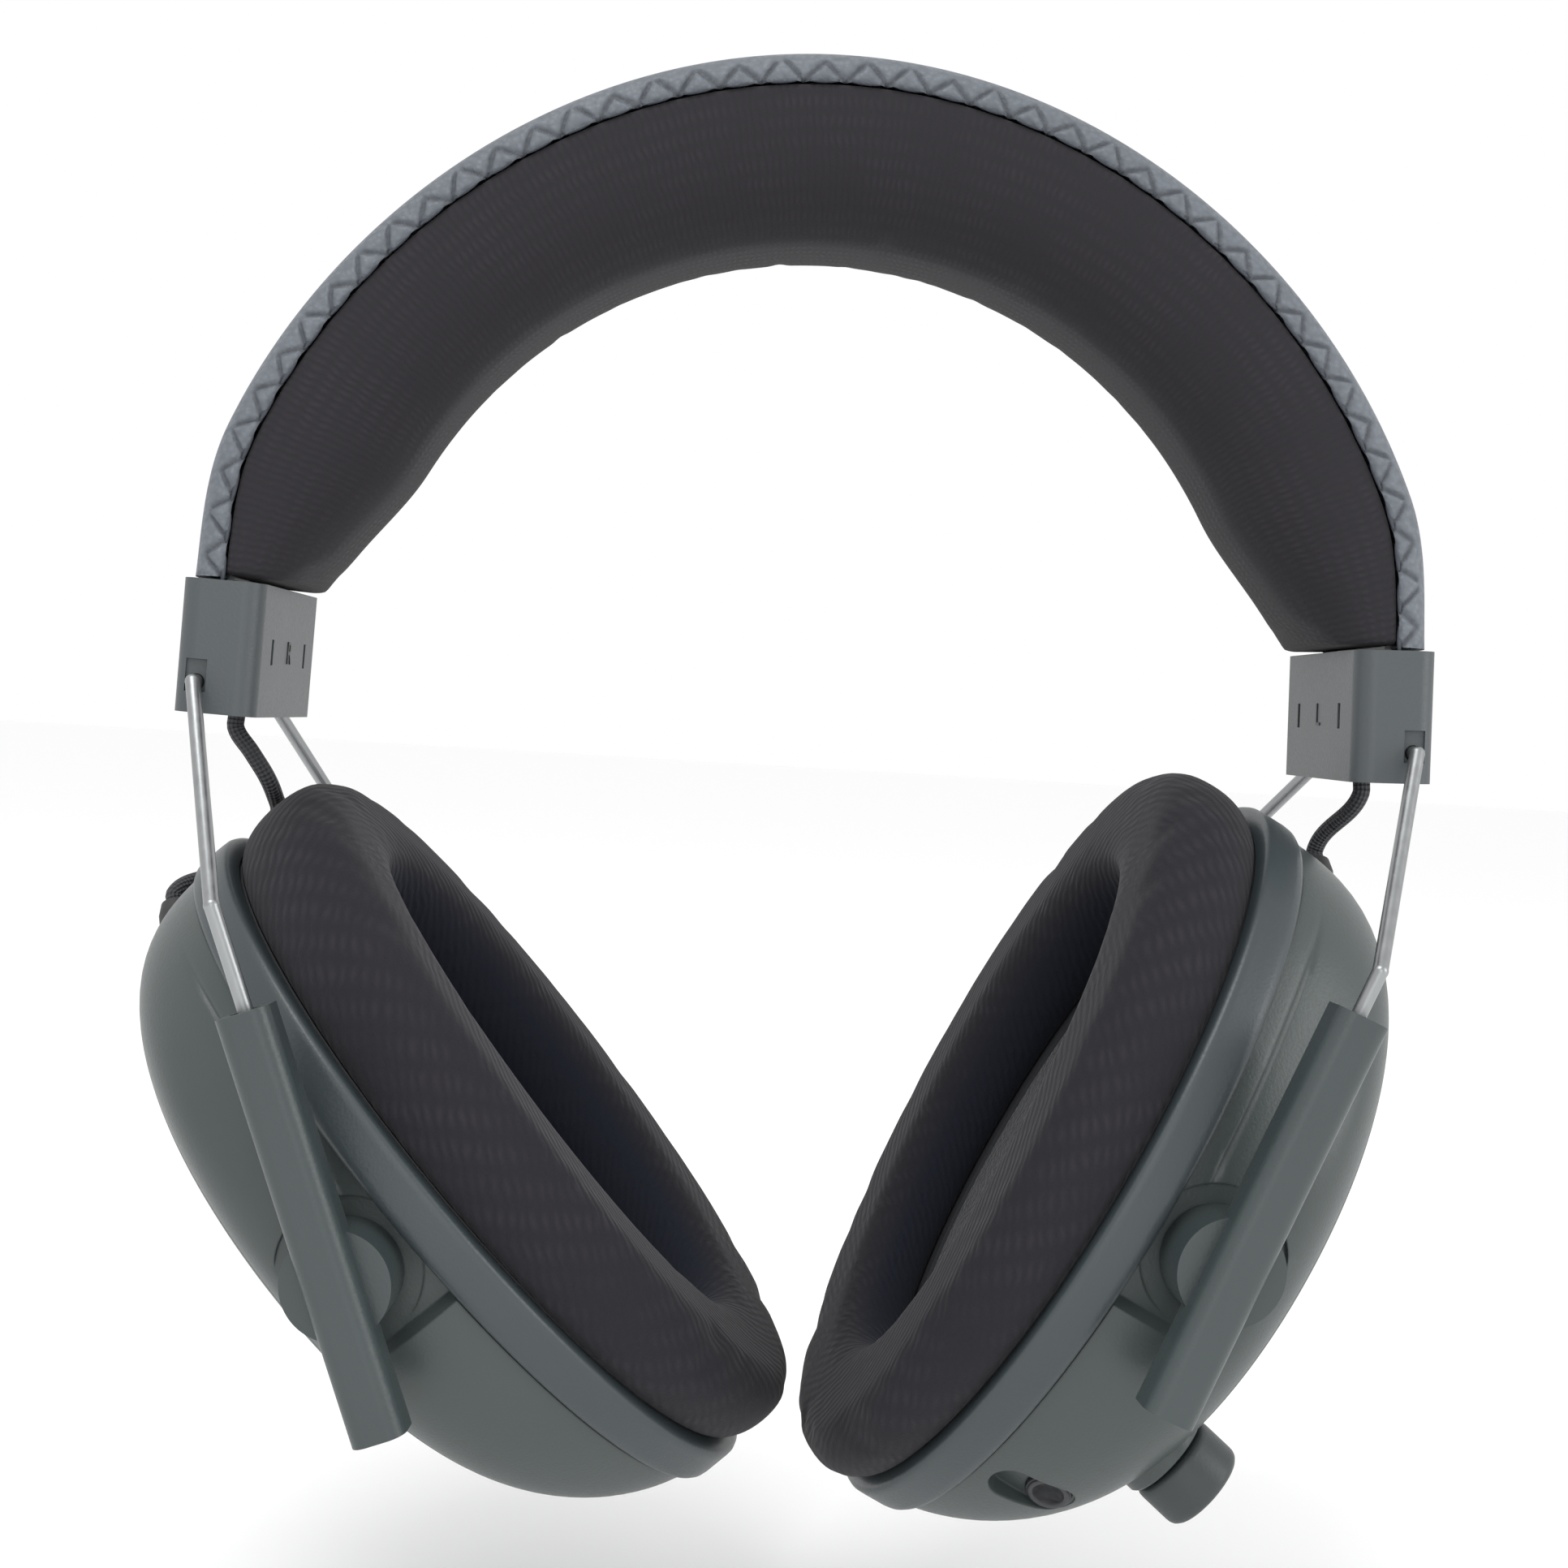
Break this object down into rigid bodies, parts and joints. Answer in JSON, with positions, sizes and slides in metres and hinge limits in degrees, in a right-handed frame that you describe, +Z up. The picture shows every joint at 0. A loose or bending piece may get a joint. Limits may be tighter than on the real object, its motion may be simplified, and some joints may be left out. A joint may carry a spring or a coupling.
{
  "type": "radio headphones",
  "caption": "Over-ear wireless headset with a padded steel headband, sliding rods, tilting oval ear cups, a volume knob and sockets for a boom microphone, charging and wired audio.",
  "frame": {"origin": "middle of the underside of the crown pad, where it rests on the head", "axes": "+X the wearer's left, -Y the wearer's front, +Z up"},
  "size_m": [0.1604, 0.0923, 0.1828],
  "materials": {
    "spring_steel": "bare spring steel",
    "leather_cover": "pebbled grey-blue synthetic leather",
    "crown_fabric": "fine charcoal weave",
    "cap_plastic": "matte moulded, grey",
    "inner_plastic": "black moulded",
    "screw_steel": "plated steel",
    "rod_steel": "bright drawn steel",
    "cable_braid": "black braided sleeve",
    "tube_plastic": "matte moulded, grey-green",
    "bush_plastic": "acetal",
    "shell_plastic": "matte moulded, grey-green",
    "cover_plastic": "matte moulded, grey-green",
    "ring_plastic": "matte moulded, grey-green",
    "cushion_knit": "charcoal sports knit",
    "scrim_cloth": "thin black cloth",
    "diaphragm_film": "clear film",
    "plated_metal": "nickel plate",
    "gland_rubber": "soft black rubber",
    "control_plastic": "satin moulded, grey",
    "circuit_board": "solder mask",
    "light_pipe": "frosted clear",
    "battery_wrap": "shrink wrap"
  },
  "bodies": {
    "headband": {"band_spring": "spring_steel", "headband_cover": "leather_cover", "crown_pad": "crown_fabric", "end_cap_left": "cap_plastic", "end_cap_right": "cap_plastic", "cap_insert_left": "inner_plastic", "cap_insert_right": "inner_plastic", "cap_screws": "screw_steel", "rod_front_left": "rod_steel", "rod_rear_left": "rod_steel", "rod_front_right": "rod_steel", "rod_rear_right": "rod_steel", "link_cable_left": "cable_braid", "link_cable_right": "cable_braid"},
    "slider_left": {"tube_front_left": "tube_plastic", "tube_rear_left": "tube_plastic", "slider_bushes_left": "bush_plastic", "pivot_pins_left": "screw_steel"},
    "slider_right": {"tube_front_right": "tube_plastic", "tube_rear_right": "tube_plastic", "slider_bushes_right": "bush_plastic", "pivot_pins_right": "screw_steel"},
    "cup_left": {"outer_shell_left": "shell_plastic", "outer_cover_left": "cover_plastic", "cup_ring_left": "ring_plastic", "ear_cushion_left": "cushion_knit", "cushion_plate_left": "inner_plastic", "scrim_left": "scrim_cloth", "baffle_left": "inner_plastic", "diaphragm_left": "diaphragm_film", "driver_basket_left": "inner_plastic", "driver_magnet_left": "plated_metal", "cable_gland_left": "gland_rubber", "cup_screws_left": "screw_steel", "volume_encoder": "circuit_board", "switch_board": "circuit_board", "mic_socket": "inner_plastic", "charge_socket": "plated_metal", "aux_socket": "inner_plastic", "status_light": "light_pipe", "main_board": "circuit_board", "antenna_board": "circuit_board"},
    "cup_right": {"outer_shell_right": "shell_plastic", "outer_cover_right": "cover_plastic", "cup_ring_right": "ring_plastic", "ear_cushion_right": "cushion_knit", "cushion_plate_right": "inner_plastic", "scrim_right": "scrim_cloth", "baffle_right": "inner_plastic", "diaphragm_right": "diaphragm_film", "driver_basket_right": "inner_plastic", "driver_magnet_right": "plated_metal", "cable_gland_right": "gland_rubber", "cup_screws_right": "screw_steel", "battery": "battery_wrap"},
    "volume_knob": {"volume_knob": "control_plastic"},
    "power_button": {"power_button": "control_plastic"},
    "mute_button": {"mute_button": "control_plastic"}
  },
  "joints": [
    {"name": "slide_left", "type": "slide", "parent": "headband", "child": "slider_left", "axis": [-0.3894, -0.0327, -0.9205], "range_m": [-0.005, 0.0195], "deforming": ["link_cable_left", "ear_cushion_left"]},
    {"name": "slide_right", "type": "slide", "parent": "headband", "child": "slider_right", "axis": [0.3564, -0.0156, -0.9342], "range_m": [-0.0118, 0.0127], "deforming": ["link_cable_right", "ear_cushion_right"]},
    {"name": "tilt_left", "type": "hinge", "parent": "slider_left", "child": "cup_left", "pos_m": [0.04704, 0, -0.11929], "axis": [-0.0837, 0.9965, 0], "range_deg": [-35, 0]},
    {"name": "tilt_right", "type": "hinge", "parent": "slider_right", "child": "cup_right", "pos_m": [-0.04787, 0, -0.12616], "axis": [0.0436, 0.999, 0], "range_deg": [0, 45]},
    {"name": "turn_volume", "type": "hinge", "parent": "cup_left", "child": "volume_knob", "pos_m": [0.04887, -0.01691, -0.14736], "axis": [0.7676, -0.0752, -0.6365], "range_deg": [-140, 140]},
    {"name": "press_power", "type": "slide", "parent": "cup_left", "child": "power_button", "axis": [0.3083, -0.8405, 0.4455], "range_m": [0, 0.0008], "stiffness_N_per_m": 900, "springref_m": -0.0006},
    {"name": "press_mute", "type": "slide", "parent": "cup_left", "child": "mute_button", "axis": [0.3789, -0.7053, 0.5991], "range_m": [0, 0.0008], "stiffness_N_per_m": 900, "springref_m": -0.0006}
  ]
}
